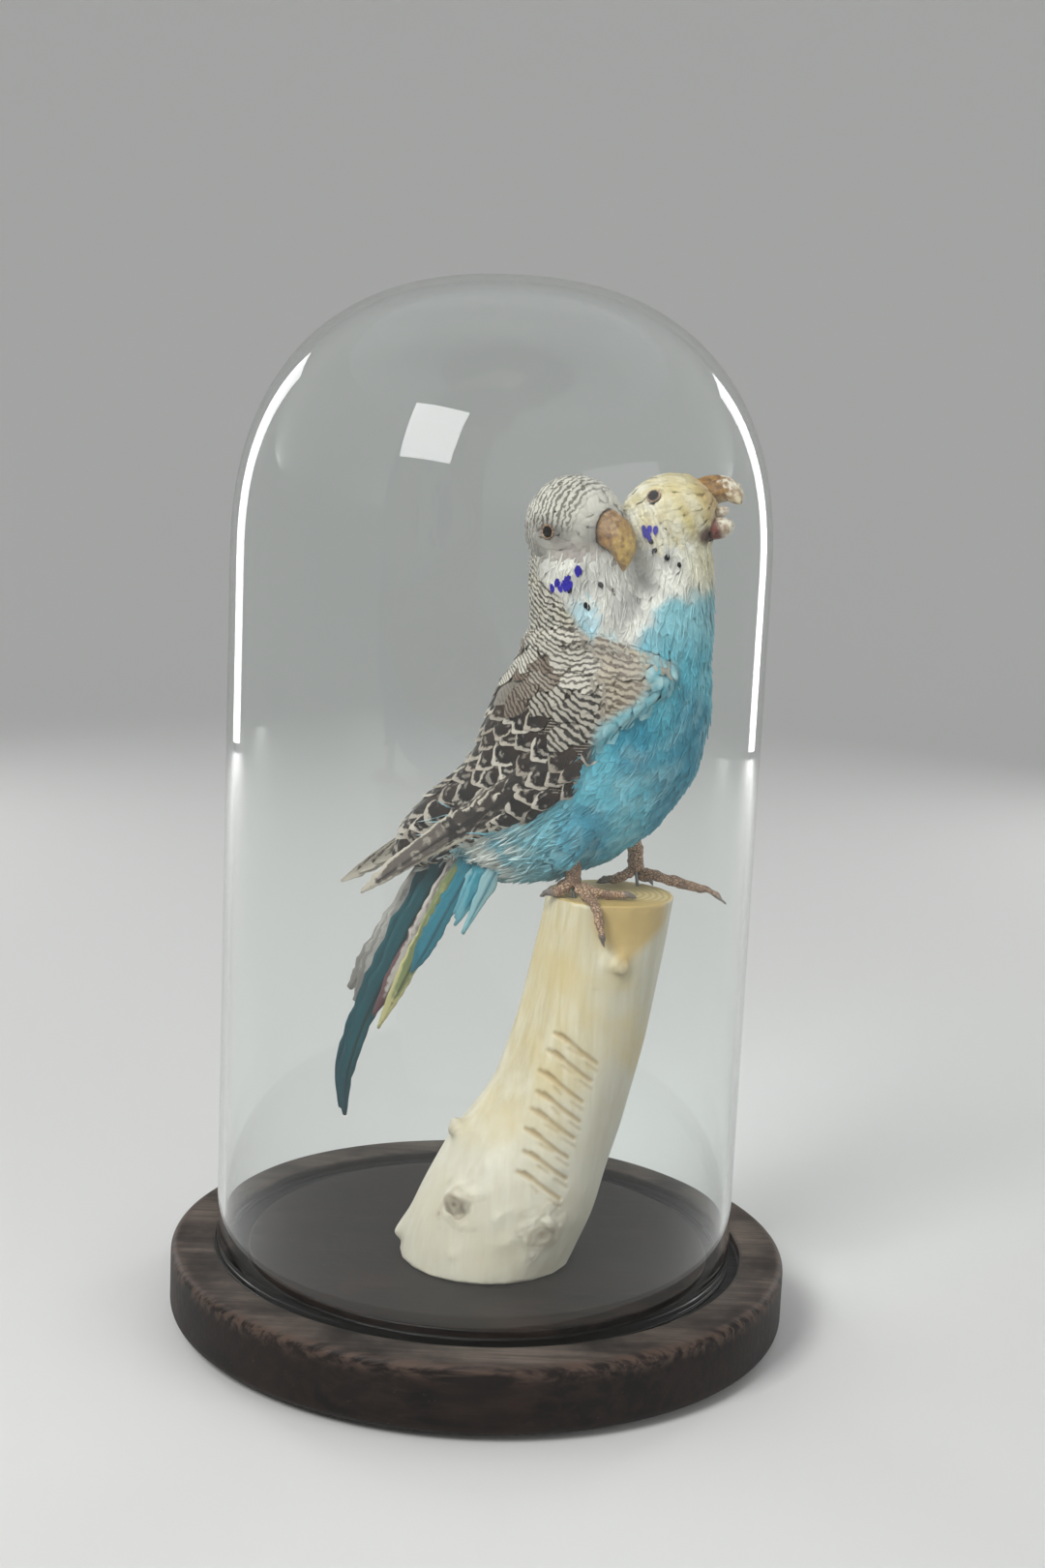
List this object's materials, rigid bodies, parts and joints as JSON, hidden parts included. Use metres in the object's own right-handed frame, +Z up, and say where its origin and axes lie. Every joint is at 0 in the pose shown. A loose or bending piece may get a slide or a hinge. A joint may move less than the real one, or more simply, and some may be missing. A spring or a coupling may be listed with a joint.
{
  "type": "bell jar display",
  "caption": "Glass dome that lifts off a turned wooden base with a routed groove, over a two-headed budgerigar mounted on a peeled tree limb.",
  "frame": {"origin": "middle of the base's underside, on the felt", "axes": "+Z up along the dome, -Y towards the viewer, +X the way the bird faces"},
  "size_m": [0.18, 0.18, 0.3],
  "materials": {
    "dome_glass": "clear blown glass, fire-polished rim",
    "stained_wood": "dark stain, worn satin",
    "felt": "felt",
    "steel": "bright",
    "peeled_wood": "bare, peeled",
    "balsa": "carved, matt",
    "blue_plumage": "soft feather",
    "white_plumage": "soft feather",
    "barred_plumage": "scalloped feather",
    "flight_plumage": "stiff feather",
    "tail_plumage": "stiff feather",
    "horn": "satin horn",
    "mouth": "modelled and painted",
    "eye_glass": "polished black glass",
    "scaled_skin": "dry scaled skin"
  },
  "bodies": {
    "base": {"wood_base": "stained_wood", "felt_pad": "felt", "perch_screw_left": "steel", "perch_screw_right": "steel", "perch_limb": "peeled_wood", "leg_wire_left": "steel", "leg_wire_right": "steel", "neck_wire_rear": "steel", "neck_wire_front": "steel", "body_form": "balsa", "body_plumage": "blue_plumage", "head_rear": "white_plumage", "head_front": "white_plumage", "upper_bill_rear": "horn", "lower_bill_rear": "horn", "upper_bill_front": "horn", "lower_bill_front": "horn", "tongue_front": "mouth", "eye_rear_left": "eye_glass", "eye_rear_right": "eye_glass", "eye_front_left": "eye_glass", "eye_front_right": "eye_glass", "wing_coverts_left": "barred_plumage", "wing_coverts_right": "barred_plumage", "flight_feathers_left": "flight_plumage", "flight_feathers_right": "flight_plumage", "tail_feather_long_left": "tail_plumage", "tail_feather_long_right": "tail_plumage", "tail_feather_mid_left": "tail_plumage", "tail_feather_mid_right": "tail_plumage", "tail_feather_short": "tail_plumage", "undertail_covert": "blue_plumage", "leg_left": "scaled_skin", "leg_right": "scaled_skin"},
    "dome": {"glass_dome": "dome_glass"}
  },
  "joints": [
    {"name": "dome_lift", "type": "slide", "parent": "base", "child": "dome", "axis": [0, 0, 1], "range_m": [0, 0.3]}
  ]
}
